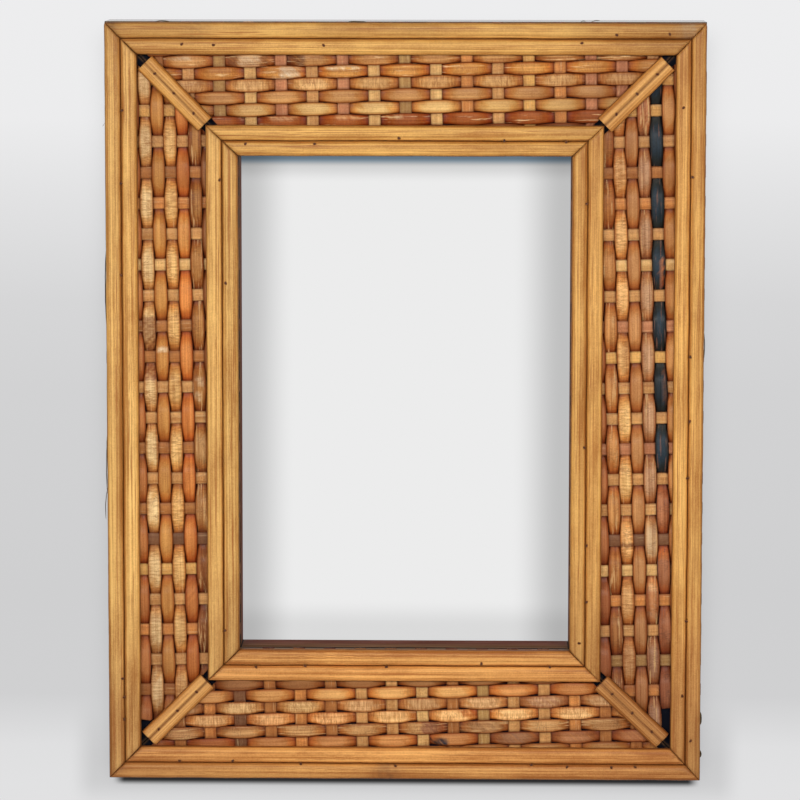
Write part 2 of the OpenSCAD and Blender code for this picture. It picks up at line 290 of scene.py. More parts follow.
def dress(tree, shader, base, rough, height, strength, depth):
    bump = put(tree, "Bump", None, {"Strength": strength, "Distance": depth, "Height": height})
    for name, value in (("Base Color", base), ("Roughness", rough), ("Normal", bump.outputs[0])):
        tree.links.new(value, shader.inputs[name])


def caneFinish(name, k):
    # split cane: fibres and streaks stretched along the grain, cracks across it, veins of a second colour,
    # and soil with painted shade in the edges and hollows; the base colour and the share of soil and
    # painted shade come with each piece as attributes
    material, tree, shader = newFinish(name, specular=k["gloss"])
    grain = put(tree, "Attribute", {"attribute_name": "grain"}).outputs["Vector"]
    tint = put(tree, "Attribute", {"attribute_name": "tint"}).outputs["Color"]
    soilAndShade = put(tree, "Attribute", {"attribute_name": "soilAndShade"}).outputs["Fac"]
    perCrack = 1000 / k["crackStep"]
    fibre = noiseAt(grain, 1.0, 2.0, 0.6, (k["long"], k["fibreFine"], k["fibreFine"]))
    streak = noiseAt(grain, 1.0, 2.0, 0.5, (k["long"] * 1.2, k["streakFine"], k["streakFine"]))
    blotch = noiseAt(grain, 1.0, 2.0, 0.5, k["blotchFine"])
    grit = noiseAt(grain, k["gritFine"], 1.0, 0.5)
    ribs = noiseAt(grain, 1.0, 1.0, 0.5, (perCrack, k["ribsFine"], k["ribsFine"]))
    total = 0.0
    for noise, amount in ((fibre, "fibre"), (streak, "streak"), (blotch, "blotch"), (grit, "grit"), (ribs, "ribs")):
        total = plus(total, times(minus(noise, 0.5), k[amount]))
    share = plus(total, 0.5, True)  # darker cane is also redder, and paler cane less rich
    base = blendIn(share, scaled(tint, k["deep"]), scaled(tint, k["pale"]))
    veins = noiseAt(grain, 1.0, 3.0, 0.6, (k["veinLong"], k["veinFine"], k["veinFine"]))
    veinShare = times(ramp(veins, k["veinFrom"], k["veinFrom"] + 0.1), k["vein"])
    base = blendIn(veinShare, base, paint(*k["veinColour"]))
    # cracks: borders of cells that are short along the grain and wide across it
    spread = scaled(grain, (perCrack, k["cellFine"], k["cellFine"]))
    cells = put(tree, "TexVoronoi", {"feature": "DISTANCE_TO_EDGE"}, {"Vector": spread, "Scale": 1.0})
    line = ramp(cells.outputs["Distance"], *k["crackWidth"], 1.0, 0.0)
    where = ramp(noiseAt(grain, k["crackPlaceFine"], 2.0), *k["crackPlace"])
    crack = times(times(line, where), k["crack"])
    base = blendIn(crack, base, paint(*k["crackColour"]))
    # soil and painted shade: a mottled dark brown mixed in by the soil and shade share
    dirtAndShade = times(soilAndShade, ramp(plus(grit, blotch), *k["soilShadeMottle"]), True)
    base = blendIn(dirtAndShade, base, paint(*k["soilShadeColour"]))
    rough = plus(ramp(streak, 0.3, 0.7, *k["rough"]), times(dirtAndShade, k["soilRough"]))
    height = minus(times(fibre, k["fibreHigh"]), times(crack, k["crackDeep"]))
    dress(tree, shader, base, rough, height, k["bump"], k["bumpDepth"])
    return material


# long is along the grain and fine across it, in waves to the metre; a crack step is in millimetres
caneLooks = {
    "base": {"deep": (0.62, 0.48, 0.36), "pale": (1.26, 1.38, 1.42), "long": 24, "fibre": 0.9, "fibreFine": 3000,
             "streak": 0.9, "streakFine": 800, "blotch": 0.8, "blotchFine": (60, 200, 200), "grit": 0.7,
             "gritFine": 2600.0, "ribs": 0.2, "ribsFine": 260, "vein": 0.0, "veinFrom": 0.58, "veinLong": 110,
             "veinFine": 1500, "veinColour": (236, 196, 140), "crack": 0.2, "crackStep": 0.62, "cellFine": 420,
             "crackWidth": (0.02, 0.13), "crackPlace": (0.42, 0.6), "crackPlaceFine": 230.0,
             "crackColour": (120, 72, 38), "soilShadeColour": (92, 38, 12), "soilShadeMottle": (0.7, 1.25, 0.55, 1.15),
             "soilRough": 0.2, "rough": (0.32, 0.52), "gloss": 0.15, "bump": 0.7, "bumpDepth": 0.00012,
             "fibreHigh": 0.35, "crackDeep": 0.8},
    "border": {"long": 9, "fibre": 2.2, "streak": 1.8, "blotch": 1.1, "grit": 0.6, "crack": 0.06, "ribs": 0.12,
               "vein": 0.7, "veinFrom": 0.57, "veinLong": 26, "veinColour": (158, 92, 42),
               "soilShadeColour": (104, 56, 24)},
    "batten": {"long": 9, "fibre": 1.5, "streak": 1.0, "blotch": 0.9, "grit": 0.6, "crack": 0.05, "ribs": 0.1,
               "vein": 0.45, "veinFrom": 0.6, "veinLong": 26, "veinColour": (168, 100, 46),
               "soilShadeColour": (104, 56, 24)},
    "smooth": {"fibre": 1.0, "streak": 1.1, "blotch": 0.9, "crack": 0.14, "vein": 0.25, "veinFrom": 0.62,
               "veinColour": (150, 86, 40)},
    "cracked": {"fibre": 0.8, "streak": 1.1, "blotch": 1.0, "crack": 0.5, "ribs": 1.5, "vein": 0.2,
                "crackColour": (150, 92, 46)},
    "rusty": {"streak": 1.6, "fibre": 1.5, "vein": 0.75, "veinFrom": 0.6, "crack": 0.25, "ribs": 0.5},
    "streaky": {"streak": 2.0, "fibre": 1.8, "vein": 0.75, "veinFrom": 0.56, "crack": 0.3, "ribs": 0.4,
                "veinColour": (206, 160, 106), "crackColour": (74, 42, 24)},
    "stained": {"streak": 1.6, "fibre": 1.3, "blotch": 1.2, "vein": 0.6, "veinFrom": 0.57,
                "veinColour": (128, 84, 66), "crack": 0.3, "crackColour": (20, 20, 24), "soilShadeColour": (26, 22, 24)},
    "stake": {"fibre": 0.7, "streak": 1.0, "crack": 0.25, "ribs": 0.6, "vein": 0.25, "veinColour": (232, 196, 142)}}
cane = {key: caneFinish("cane_" + key, {**caneLooks["base"], **look})
        for key, look in caneLooks.items() if key != "base"}
print("stage: cane finishes made")


# half-round border strips: a flattened dome section carried along each side and cut on the mitres
stripLook = {"height": 2.5, "squareness": 3.2, "acrossPoints": 23, "step": 1.3, "waver": 0.05, "cornerRound": 1.5,
             "endDip": 0.3, "dipReach": 0.35, "ripple": 0.02, "toneDrift": 0.035, "innerAge": 0.6,
             "honey": [(206, 152, 82), (202, 147, 80), (197, 136, 74), (210, 158, 90)],
             "tone": [[0.97, 1.06, 1.09, 1.10], [1.11, 1.22, 1.13, 1.07],
                      [1.02, 1.28, 1.29, 1.19], [1.04, 1.14, 1.08, 0.99]],
             "edgeShade": (0.86, 0.72, 0.56), "edgeFrom": 0.45, "edgeSoilShade": 0.7, "soilShadeFrom": 0.86,
             # soil and painted shade at the mitres, amount and reach: top left, top right, bottom right, bottom
             # left
             "mitreSoilShade": [(0.95, 0.55), (0.6, 0.4), (0.7, 0.45), (0.9, 0.5)], "innerSoilShade": 0.75,
             "names": [("outer_border_outer_strip", 0), ("outer_border_inner_strip", 1),
                       ("inner_border_outer_strip", 3), ("inner_border_inner_strip", 4)]}

# side, strip, middle, reach, amount and colour of the worn or dirty places on the borders
smudges = [(0, 0, 95, 3.5, 0.55, (150, 132, 112)), (0, 0, -70, 6, 0.35, (120, 80, 50)),
           (2, 0, 6, 4, 0.6, (110, 76, 54)), (0, 0, -99, 2.0, 0.8, (66, 44, 34)),
           (2, 0, -60, 42, 0.40, (176, 102, 52)), (2, 1, -66, 45, 0.32, (182, 112, 58)),
           (1, 0, 96, 26, 0.35, (176, 108, 58)), (1, 1, 104, 22, 0.30, (180, 112, 60)),
           (3, 0, -112, 10, 0.30, (178, 112, 62)), (2, 4, 40, 9, 0.25, (150, 96, 56))]


def domeSection(count, power):
    # across from -1 to 1 and height 0 to 1 of a superellipse dome, closed underneath
    angle = np.linspace(np.pi, 0, count)
    across = np.sign(np.cos(angle)) * np.abs(np.cos(angle)) ** (2 / power)
    height = np.abs(np.sin(angle)) ** (2 / power)
    return np.append(across, [0.5, -0.5]), np.append(height, [0, 0])


def borderStrip(i, first):
    # first is the line of the strip's outer edge, as inset counts them
    s = stripLook
    across, rise = domeSection(s["acrossPoints"], s["squareness"])
    gap, mitre = layout["stripGap"] / 2, layout["mitreGap"] / 2
    share = (1 - across) / 2  # 0 at the outer edge of the strip, 1 at the inner edge
    left = (1 - share) * endOf(i, first, False) + share * endOf(i, first + 1, False) + mitre
    right = (1 - share) * endOf(i, first) + share * endOf(i, first + 1) - mitre
    f = stations((right - left).max(), s["step"])[:, None]
    u = left + (right - left) * f
    sway = drift(u, 10 * i + first, 23) - (1 if first == 0 else 0)
    outerEdge = level(i, first) - gap * (first in (0, 3)) + s["waver"] * sway
    innerEdge = level(i, first + 1) + gap * (first in (1, 4)) + s["waver"] * drift(u, 10 * i + first + 1, 23)
    w = outerEdge * (1 - share) + innerEdge * share
    fromEnd = np.minimum(u - left, right - u)
    height = s["height"] * rise * (1 - s["endDip"] * np.exp(-fromEnd / s["dipReach"]))
    height = height * (1 + s["ripple"] * drift(u, 77 + i, 9))
    points = toFrame(i, u, layout["borderY"] - height, w)
    # soil and painted shade: darker in the grooves along both edges and at the mitres
    soilAndShade = s["edgeSoilShade"] * smooth(s["soilShadeFrom"], 1.0, np.abs(across))
    for distance, (amount, reach) in ((u - left, s["mitreSoilShade"][i]), (right - u, s["mitreSoilShade"][(i + 1) % 4])):
        soilAndShade = soilAndShade + amount * (1.0 if first < 2 else s["innerSoilShade"]) * np.exp(-distance / reach)
    soilAndShade = np.clip(soilAndShade, 0, 1)
    tone = s["tone"][i][[0, 1, 3, 4].index(first)] * (1 + s["toneDrift"] * drift(u, 31 * i + first, 42))
    tint = colour(*s["honey"][i]) * tone[..., None] * aged(i, u, right.max(), 1.0 if first < 2 else s["innerAge"])
    # painted shade: warmer and darker towards the rounded edges of the strip
    edgeShadeShare = smooth(s["edgeFrom"], 0.98, np.abs(across) + 0.05 * drift(u, 19 * i + first, 6))
    tint = shaded(tint, edgeShadeShare, s["edgeShade"])
    for side, strip, uMiddle, reach, amount, shade in smudges:
        if side == i and strip == first:
            patch = amount * np.exp(-((u - uMiddle) / reach) ** 2) * (0.7 + 0.3 * drift(u * 7 + across * 3, 5, 9))
            tint = covered(tint, patch, shade)
    grain = stacked(u * mm + 0.61 * (4 * i + first), across * 2.6 * mm, height * mm)
    return {"points": roundCorners(points, s["cornerRound"]), "grain": grain, "soilAndShade": soilAndShade, "tint": opaque(tint)}


def roundCorners(points, radius):
    # points past the arc of each top corner are drawn in to it
    x, z = points[..., 0] / mm, points[..., 2] / mm
    for side in (-1, 1):
        cx, cz = side * (layout["half"][1] - radius), layout["half"][0] + layout["middleZ"] - radius
        dx, dz = (x - cx) * side, z - cz
        far = np.hypot(dx, dz)
        pull = np.where((dx > 0) & (dz > 0) & (far > radius), radius / np.maximum(far, 1e-6), 1)
        x, z = cx + side * dx * pull, cz + dz * pull
    return stacked(x * mm, points[..., 1], z * mm)


for i, side in enumerate(layout["sides"]):
    for kind, first in stripLook["names"]:
        makePiece(f"{side}_{kind}_cane", [borderStrip(i, first)], cane["border"], [f"{side}_{kind}"])
print("stage: border strips made")

# the pins as built, from points less than 2 mm apart: middle x, front y, middle z and back y of each
pinPoints = np.array([v.co for v in frame["nodes"]["cane_pins"].data.vertices])
places, left = [], pinPoints
while len(left):
    near = np.hypot(*(left - left[0])[:, [0, 2]].T) < 0.002
    low, high = left[near].min(0), left[near].max(0)
    places.append((low[0] / 2 + high[0] / 2, low[1], low[2] / 2 + high[2] / 2, high[1]))
    left = left[~near]

# corner battens: two half rounds side by side as one strip, split along the middle, cut square
battenLook = {"width": 6.7, "height": 2.2, "gap": 0.3, "step": 0.9, "acrossPoints": 27, "squareness": 3.0,
              "splitDepth": 0.16, "splitWidth": 0.05, "endDip": 0.12, "dipReach": 0.25, "ripple": 0.02,
              "honey": [(208, 148, 82), (176, 118, 64), (208, 148, 84), (212, 154, 84)],
              "edgeShade": (0.84, 0.68, 0.50), "edgeSoilShade": 0.7, "splitShade": 0.8, "endSoilShade": 0.3}
for i, corner in enumerate(layout["corners"]):
    b = battenLook
    start = np.array([endOf(i, 2), level(i, 2)])
    finish = np.array([endOf(i, 3), level(i, 3)])
    along = (finish - start) / np.linalg.norm(finish - start)
    aside = np.array([-along[1], along[0]])
    skip = b["width"] / 2 + b["gap"] * np.sqrt(2)
    length = np.linalg.norm(finish - start) - skip - b["gap"]
    across, top = domeSection(b["acrossPoints"], b["squareness"])
    # the split runs through the batten's own pins, turned back into this side's u and w
    x, z = np.array([p[0] for p in places]) / mm, np.array([p[2] for p in places]) / mm - layout["middleZ"]
    c, t = turns[i]
    pins = np.stack([x * c - z * t, x * t + z * c], -1) - start
    pins = pins[(pins @ along > 2) & (pins @ along < skip + length) & (np.abs(pins @ aside) < 1.5)]
    split = np.exp(-((across - (pins @ aside).mean() / (b["width"] / 2)) / b["splitWidth"]) ** 2) * (top > 0.5)
    top = top - b["splitDepth"] * split
    f = stations(length, b["step"], (0.0, 0.1, 0.3))[:, None]
    d = skip + length * f
    half = b["width"] / 2 * (1 + b["ripple"] * drift(d, 50 + i, 12))
    v = across * half
    fromEnd = np.minimum(d - skip, skip + length - d)
    height = b["height"] * top * (1 - b["endDip"] * np.exp(-fromEnd / b["dipReach"]))
    u = start[0] + along[0] * d + aside[0] * v
    w = start[1] + along[1] * d + aside[1] * v
    # soil and painted shade: darker along the edges, in the split and at the ends; then painted shade warms and
    # darkens the rounded sides
    soilAndShade = b["edgeSoilShade"] * smooth(0.88, 1.0, np.abs(across)) + b["splitShade"] * split
    soilAndShade = np.clip(soilAndShade + b["endSoilShade"] * np.exp(-fromEnd / 0.3), 0, 1)
    tint = opaque(shaded(colour(*b["honey"][i]), smooth(0.5, 0.98, np.abs(across) + 0 * v), b["edgeShade"]))
    grain = stacked(d * mm + 0.83 * (i + 20), v * mm, height * mm)
    tube = {"points": toFrame(i, u, layout["borderY"] - height, w), "grain": grain, "soilAndShade": soilAndShade, "tint": tint}
    makePiece(f"{corner}_batten_cane", [tube], cane["border" if i == 1 else "batten"],
              [f"{corner}_batten"])
print("stage: corner battens made")

# the woven mat: stakes that lie across a rail, one each pitch, and weavers that run along it, one each row pitch;
# the slant is in degrees, and lastRowOut is how far the innermost row in sight lies from the inner border
weave = {"pitch": 10.4, "rowPitch": 4.15, "shift": [0, 4.6, 4.2, -4.8], "slant": [1.15, 1.5, 1.55, 0.9],
         "lastRowOut": [1.75, 3.3, 0.1, 2.3], "rows": [6, 6, 6, 5], "firstOver": [0, 1, 1, 0],
         "mitreSpace": 2.6, "room": 0.25, "halfWidth": 2.03, "swell": 0.27, "rise": 1.0, "crown": 0.45,
         "belly": 0.4, "squareness": 2.6, "step": 0.65, "rimSpace": 0.12, "shadeSpread": 0.055,
         "stakeWidth": 4.1, "stakeCrown": 0.5, "stakeBelly": 0.45, "stakeSquareness": 4.0, "stakeStep": 0.7,
         # the dive, edge and rim shades are painted shade on each weaver
         "poke": 0.05, "diveShade": (0.42, 0.27, 0.18), "edgeShade": (0.74, 0.48, 0.28),
         "rimShade": (0.84, 0.64, 0.46), "blush": (0.91, 0.73, 0.54),
         # broken off short of a lower corner: rows by side and row, with the lowest and highest place they reach
         # along the side, and a stake by side and number, with how far out it reaches; another stake is gone
         "brokenRows": {(1, 2): (-200, 104.6), (3, 0): (-108.8, 200)}, "whole": (-200, 200), "ragged": 0.25,
         "brokenStakes": {(1, 10): 85.0}, "lostStake": (3, -10)}


def rowInset(i, row):
    return inset(i, 3) - weave["lastRowOut"][i] - (weave["rows"][i] - row) * weave["rowPitch"]


def isOver(i, row, j):
    return (abs(row + j) + weave["firstOver"][i]) % 2 == 0


def fromWeave(i, along, out):
    # a place in the slanted weave, along it and outward from its middle row, to the side's u and w
    a = np.radians(weave["slant"][i])
    middle = level(i, 0) - rowInset(i, (weave["rows"][i] + 1) / 2)
    return along * np.cos(a) - out * np.sin(a), middle + along * np.sin(a) + out * np.cos(a)


def weaveEnds(i, out, room):
    # where the mitred outline of the mat cuts a line at this distance out, left and right
    a = np.radians(weave["slant"][i])
    run = endOf(i, 0) - weave["mitreSpace"] * np.sqrt(2) + room
    reach = run - rowInset(i, (weave["rows"][i] + 1) / 2)
    right = (reach + out * (np.cos(a) + np.sin(a))) / (np.cos(a) - np.sin(a))
    left = (-reach + out * (np.sin(a) - np.cos(a))) / (np.cos(a) + np.sin(a))
    return left, right


def ovalSection(count, power):
    # closed section, across and up from -1 to 1, a superellipse
    angle = np.linspace(np.pi, -np.pi, count, endpoint=False)
    raised = lambda v: np.sign(v) * np.abs(v) ** (2 / power)
    return raised(np.cos(angle)), raised(np.sin(angle))


def weaverTube(i, row, base, patches=(), points=16, step=None, seed=0):
    # the middle line follows sine(90 degrees times cosine of the way between stakes), level over each stake
    # and steep between; the cane is widest on its crest and narrowest where it dives
    k = weave
    across, up = ovalSection(points, k["squareness"])
    outMiddle = rowInset(i, (k["rows"][i] + 1) / 2) - rowInset(i, row)
    left, right = weaveEnds(i, outMiddle + across * k["halfWidth"], k["room"])
    reach = right.max()
    low, high = k["brokenRows"].get((i, row), k["whole"])
    jag = k["ragged"] * np.sin(7 * across)
    left, right = np.maximum(left, low - jag), np.minimum(right, high + jag)
    f = stations((right - left).max(), step or k["step"])[:, None]
    along = left + (right - left) * f
    crest = np.cos(np.pi * (along - k["shift"][i]) / k["pitch"]) * (1 if isOver(i, row, 0) else -1)
    lift = np.sin(np.pi / 2 * crest)
    half = (k["halfWidth"] + k["swell"] * crest) * (1 + 0.02 * drift(along, seed + 3, 14))
    out = outMiddle + 0.07 * drift(along, seed + 4, 25) + across * half
    thick = np.where(up > 0, k["crown"], k["belly"]) * up
    y = layout["matY"] - k["rise"] * lift - thick
    u, w = fromWeave(i, along, out)
    w = np.clip(w, level(i, 5) + k["rimSpace"], level(i, 0) - k["rimSpace"])
    fromEnd = np.minimum(along - left, right - along)
    # soil and painted shade along both edges, where the rows meet, and at the ends
    soilAndShade = np.clip(0.9 * smooth(0.80, 1.0, np.abs(across)) * (up > -0.5) + 0.35 * np.exp(-fromEnd / 0.6), 0, 1)
    random = np.random.default_rng(seed)
    # each float between two stakes has its own shade
    floats = np.round((along - k["shift"][i]) / k["pitch"]).astype(int)
    steps = random.normal(0, k["shadeSpread"], 80)[floats + 40]
    tint = np.broadcast_to(colour(*base), u.shape + (3,))
    for uFrom, uTo, shade, *band in patches:
        ragged = u + 0.45 * drift(across * 5 + uFrom, 11, 2.5)
        share = smooth(uFrom - 0.5, uFrom + 0.5, ragged) * (1 - smooth(uTo - 0.5, uTo + 0.5, ragged))
        if band:  # only part of the width, from -1 at the inner edge to 1 at the outer
            wavy = across + 0.2 * drift(u + 3 * uTo, 13, 4)
            share = share * smooth(band[0] - 0.12, band[0] + 0.12, wavy)
            share = share * (1 - smooth(band[1] - 0.12, band[1] + 0.12, wavy))
        if uTo - uFrom < 30:  # short places are mottled
            share = share * np.clip(0.86 + 0.35 * drift(2 * u + 5 * across, int(abs(uFrom)) + 17, 3), 0, 1)
        tint = covered(tint, share, shade)
    blush = smooth(0.5, -0.3, crest + 0.3 * drift(along + 4 * across, seed + 9, 3.5))
    # painted shade: darker where the weaver dives under a stake, along its rounded edges, and on the slopes of each
    # float
    tint = shaded(tint * (1 + steps)[..., None], smooth(-0.50, -0.86, crest), k["diveShade"])
    tint = shaded(tint, smooth(0.45, 1.0, np.abs(across) + 0 * u), k["edgeShade"])
    tint = shaded(tint, smooth(0.0, -0.7, crest), k["rimShade"])
    tint = shaded(tint * aged(i, u, reach, 1.1), blush, k["blush"])
    grain = stacked(along * mm + 0.37 * seed, (out - outMiddle) * mm, thick * mm)
    return {"points": toFrame(i, u, y, w), "grain": grain, "soilAndShade": soilAndShade, "tint": opaque(tint)}


# each row in sight, outermost first: finish, record slot, base colour and patches, each from u, to u, colour and,
# where it covers only part of the width, from and to across
rowLooks = [
    [("rusty", "tan", (196, 138, 80),
      [(-81, -72, (210, 176, 134), 0.2, 1), (-60, -56, (132, 86, 58)), (-56, -49, (198, 160, 122)),
       (-49, -46, (150, 100, 62)), (-42, -33.5, (128, 80, 48))]),
     ("rusty", "amber", (206, 140, 70), [(-42, -35, (216, 184, 150)), (-27, -15, (226, 192, 152), 0.45, 1)]),
     ("cracked", "straw", (204, 150, 92), [(-62, -20, (214, 162, 104))]),
     ("smooth", "tan", (198, 141, 84), []),
     ("smooth", "straw", (224, 176, 110), [(26, 80, (212, 162, 96))]),
     ("rusty", "brown", (164, 86, 32),
      [(-46, -36, (204, 148, 98), 0.4, 0.9), (-23, -15, (198, 140, 90), 0.3, 0.8),
       (-8, -1, (210, 168, 122), 0.4, 0.8)])],
    [("smooth", "amber", (204, 141, 82), [(-84, -30, (184, 122, 68))]),
     ("stained", "stained", (172, 106, 68),
      [(-112, 23.4, (38, 48, 56)), (-50, -40, (178, 108, 68), 0.2, 0.75), (-12, 0, (96, 68, 56), 0.3, 0.9),
       (48, 53, (198, 116, 62))]),
     ("streaky", "olive", (186, 136, 98),
      [(-106, -93, (182, 112, 66)), (38, 52, (206, 162, 118)), (57, 63.5, (224, 166, 112)),
       (63.5, 71, (178, 110, 62))]),
     ("smooth", "tan", (190, 130, 78), []),
     ("cracked", "straw", (222, 164, 102), [(-4, 33, (233, 181, 114)), (47, 48.5, (120, 70, 40))]),
     ("streaky", "tan", (196, 132, 74), [(-100, -58, (170, 104, 50)), (50, 110, (178, 114, 60))])],
    [("smooth", "amber", (194, 128, 74),
      [(-86, -68, (166, 104, 64)), (-66, -48, (166, 110, 72)), (-46, -27, (158, 108, 76)),
       (-15, -9, (48, 50, 58), -0.2, 1), (-3, 13, (206, 138, 78)), (58, 90, (182, 108, 58))]),
     ("streaky", "olive", (196, 142, 88), [(-34, -20, (160, 112, 72)), (-20, -6, (138, 84, 58))]),
     ("cracked", "straw", (240, 184, 120), [(16, 54, (230, 166, 106)), (-26, -20, (206, 128, 70), -1, 0.2)]),
     ("cracked", "straw", (210, 158, 106), [(-57, -40, (190, 138, 100)), (28, 64, (216, 168, 110))]),
     ("smooth", "amber", (222, 160, 94), [(-90, -30, (212, 140, 78))]),
     ("smooth", "olive", (163, 109, 64), [])],
    [("cracked", "straw", (222, 181, 126), [(8, 15, (152, 92, 57)), (17, 29.5, (150, 102, 64))]),
     ("smooth", "tan", (199, 136, 70), [(17.8, 19.2, (232, 200, 160))]),
     ("cracked", "straw", (226, 173, 106), []),
     ("smooth", "amber", (210, 128, 64), [(-80, -56, (186, 110, 54)), (48, 66, (214, 146, 78))]),
     ("streaky", "brown", (170, 113, 59),
      # the patches from 1 to 4 and from 6 to 9 on this row are painted highlights
      [(-90, -50, (148, 90, 46)), (-46, -10, (184, 132, 80)), (1, 4, (208, 170, 128), 0, 0.8),
       (6, 9, (198, 158, 116), -0.6, 0.3)])]]
for i, side in enumerate(layout["sides"]):
    for row, (finish, slot, base, patches) in enumerate(rowLooks[i], 1):
        tube = weaverTube(i, row, base, patches, seed=100 * i + row)
        makePiece(f"{side}_weaver_{row}_cane", [tube], cane[finish], [f"{side}_weaver_{row}"])

# the rows under the outer and the inner border of each side
hiddenLook = {"from": -4, "beyond": 6, "margin": 2, "points": 12, "step": 0.9,
              "colours": [[(182, 120, 66), (146, 90, 48)], [(176, 114, 62), (184, 114, 68)],
                          [(202, 147, 88), (165, 112, 64)], [(192, 122, 68), (170, 114, 70)]]}
tubes = []
for i in range(4):
    h, rows = hiddenLook, weave["rows"][i]
    for row in range(h["from"], rows + h["beyond"]):
        if (row < 1 or row > rows) and h["margin"] < rowInset(i, row) < layout["railWidth"] - h["margin"]:
            tubes.append(weaverTube(i, row, h["colours"][i][row > 0], points=h["points"], step=h["step"],
                                    seed=900 + 30 * i + row))

# split cane that closes the mat along the frame's outer and inner edges, under the borders
# the lining's soil and shade share is painted shade all along, as it lies under the borders
liningLook = {"insets": [(0.2, 0.7), (44.3, 44.8)], "front": -22.75, "back": -20.02, "mitreSpace": 0.05,
              "step": 1.6, "shade": (134, 100, 54), "soilAndShade": 0.25, "toneDrift": 0.15}
for i in range(4):
    k = liningLook
    for a, b in k["insets"]:
        edge = np.array([a, (a + b) / 2, b, b, b, (a + b) / 2, a, a])
        depth = np.array([0, 0, 0, 0.5, 1, 1, 1, 0.5]) * (k["back"] - k["front"]) + k["front"]
        reach = endOf(i, 0) - edge - k["mitreSpace"]
        u = reach * (2 * stations(2 * reach.max(), k["step"])[:, None] - 1)
        tint = colour(*k["shade"]) * (1 + k["toneDrift"] * drift(u, 400 + i, 17))[..., None]
        tubes.append({"points": toFrame(i, u, depth, level(i, 0) - edge), "soilAndShade": k["soilAndShade"] + 0 * u,
                      "grain": stacked(u * mm + 0.71 * i + a, depth * mm, edge * mm),
                      "tint": opaque(tint)})
makePiece("edge_weavers_cane", tubes, cane["smooth"], ["edge_weavers"])
print("stage: weavers made")

# colours of the stakes: the number of each side's first stake, then a letter for each stake along u
stakeShades = {"s": (217, 166, 103), "y": (213, 155, 84), "o": (171, 127, 73), "p": (186, 118, 79),
               "t": (200, 142, 84), "a": (202, 128, 66), "b": (169, 105, 53), "d": (122, 80, 52)}
stakeRows = [(-8, "btosptpsosatyapptb"), (-10, "ytbatstpyttpttdsatoa"), (-7, "battobsttbabdab"),
             (-9, "btatydbtbttbbtstabty")]


def stakeTube(i, j, base, seed):
    # flat strip across the rail with a low crown; its outline is the mat's, and both ends reach a little past
    k = weave
    across, up = ovalSection(12, k["stakeSquareness"])
    a = np.radians(k["slant"][i])
    middle = level(i, 0) - rowInset(i, (k["rows"][i] + 1) / 2)
    place = k["shift"][i] + j * k["pitch"]
    run = endOf(i, 0) - k["mitreSpace"] * np.sqrt(2)
    side = place + across * k["stakeWidth"] / 2
    random = np.random.default_rng(seed)
    outer = (level(i, 0) + k["poke"] * random.uniform(0.3, 1.2) - middle - side * np.sin(a)) / np.cos(a)
    outer = np.minimum(outer, k["brokenStakes"].get((i, j), k["whole"][1]) - middle)
    # the inner end stops past the opening, or on the mitre for the stakes near a corner
    edge = level(i, 5) - k["poke"] * random.uniform(0.3, 1.2)
    mitre = level(i, 0) - run + np.abs(side)
    inner = (np.maximum(edge, mitre) - middle - side * np.sin(a)) / np.cos(a)
    f = stations((outer - inner).max(), k["stakeStep"])[:, None]
    out = inner + (outer - inner) * f
    y = layout["matY"] - np.where(up > 0, k["stakeCrown"], k["stakeBelly"]) * up * (1 - 0.12 * across ** 2)
    along = side + 0.06 * drift(out, seed + 5, 12)
    u, w = fromWeave(i, along, out)
    # painted shade where it slips under the weavers that cross over it, and soil with painted shade along its edges
    # and at its ends
    rows = np.array([r for r in range(-4, k["rows"][i] + 6) if not isOver(i, r, j)])
    windows = rowInset(i, (k["rows"][i] + 1) / 2) - np.array([rowInset(i, r) for r in rows])
    fromWindow = np.abs(out[..., None] - windows).min(-1)
    fromEnd = np.minimum(out - inner, outer - out)
    soilAndShade = np.clip(0.6 * smooth(0.8, 1.0, np.abs(across)) + 0.8 * smooth(1.2, 2.1, fromWindow)
                   + 0.9 * np.exp(-fromEnd / 0.8), 0, 1)
    tint = colour(*base) * (1 + 0.1 * drift(out, seed + 6, 9))[..., None] * aged(i, u, run)
    grain = stacked(out * mm + 0.53 * seed, across * k["stakeWidth"] / 2 * mm, up * 0.45 * mm)
    return {"points": toFrame(i, u, y, w), "grain": grain, "soilAndShade": soilAndShade, "tint": opaque(tint)}


for i, side in enumerate(layout["sides"]):
    first, letters = stakeRows[i]
    reach = endOf(i, 0) - weave["mitreSpace"] * np.sqrt(2) - weave["stakeWidth"] / 2 - 6
    tubes = []
    for j in range(-16, 17):
        if abs(weave["shift"][i] + j * weave["pitch"]) < reach and (i, j) != weave["lostStake"]:
            letter = letters[min(max(j - first, 0), len(letters) - 1)]
            tubes.append(stakeTube(i, j, stakeShades[letter], 2000 + 50 * i + j))
    makePiece(f"{side}_cross_stakes_cane", tubes, cane["stake"], [f"{side}_cross_stakes"])
print("stage: stakes made")

# pins: a shank and a low domed head, set on whatever strip lies in front; radius and height above the strip are
# ring by ring in millimetres, and the head is a little out of round
pinLook = {"size": 0.86, "dark": (70, 36, 22), "rim": (142, 86, 42), "sides": 16, "search": 0.0012, "short": 0.0002,
           "radius": [0.02, 0.2, 0.32, 0.44, 0.55, 0.62, 0.62, 0.42, 0.42, 0.02],
           "proud": [0.17, 0.19, 0.22, 0.21, 0.15, 0.05, -0.1, -0.15, -2.0, -2.05],
           "darkShare": [1, 1, 0.9, 0.5, 0.25, 0.35, 0.6, 0.8, 0.8, 0.8]}
surface = np.concatenate([np.array([v.co for v in o.data.vertices]) for o in bpy.data.objects
                          if o.name.endswith(("strip_cane", "batten_cane"))])
radius, proud, dark = (np.array(pinLook[key])[:, None] for key in ("radius", "proud", "darkShare"))
turn = np.linspace(0, 2 * np.pi, pinLook["sides"], endpoint=False)
tubes = []
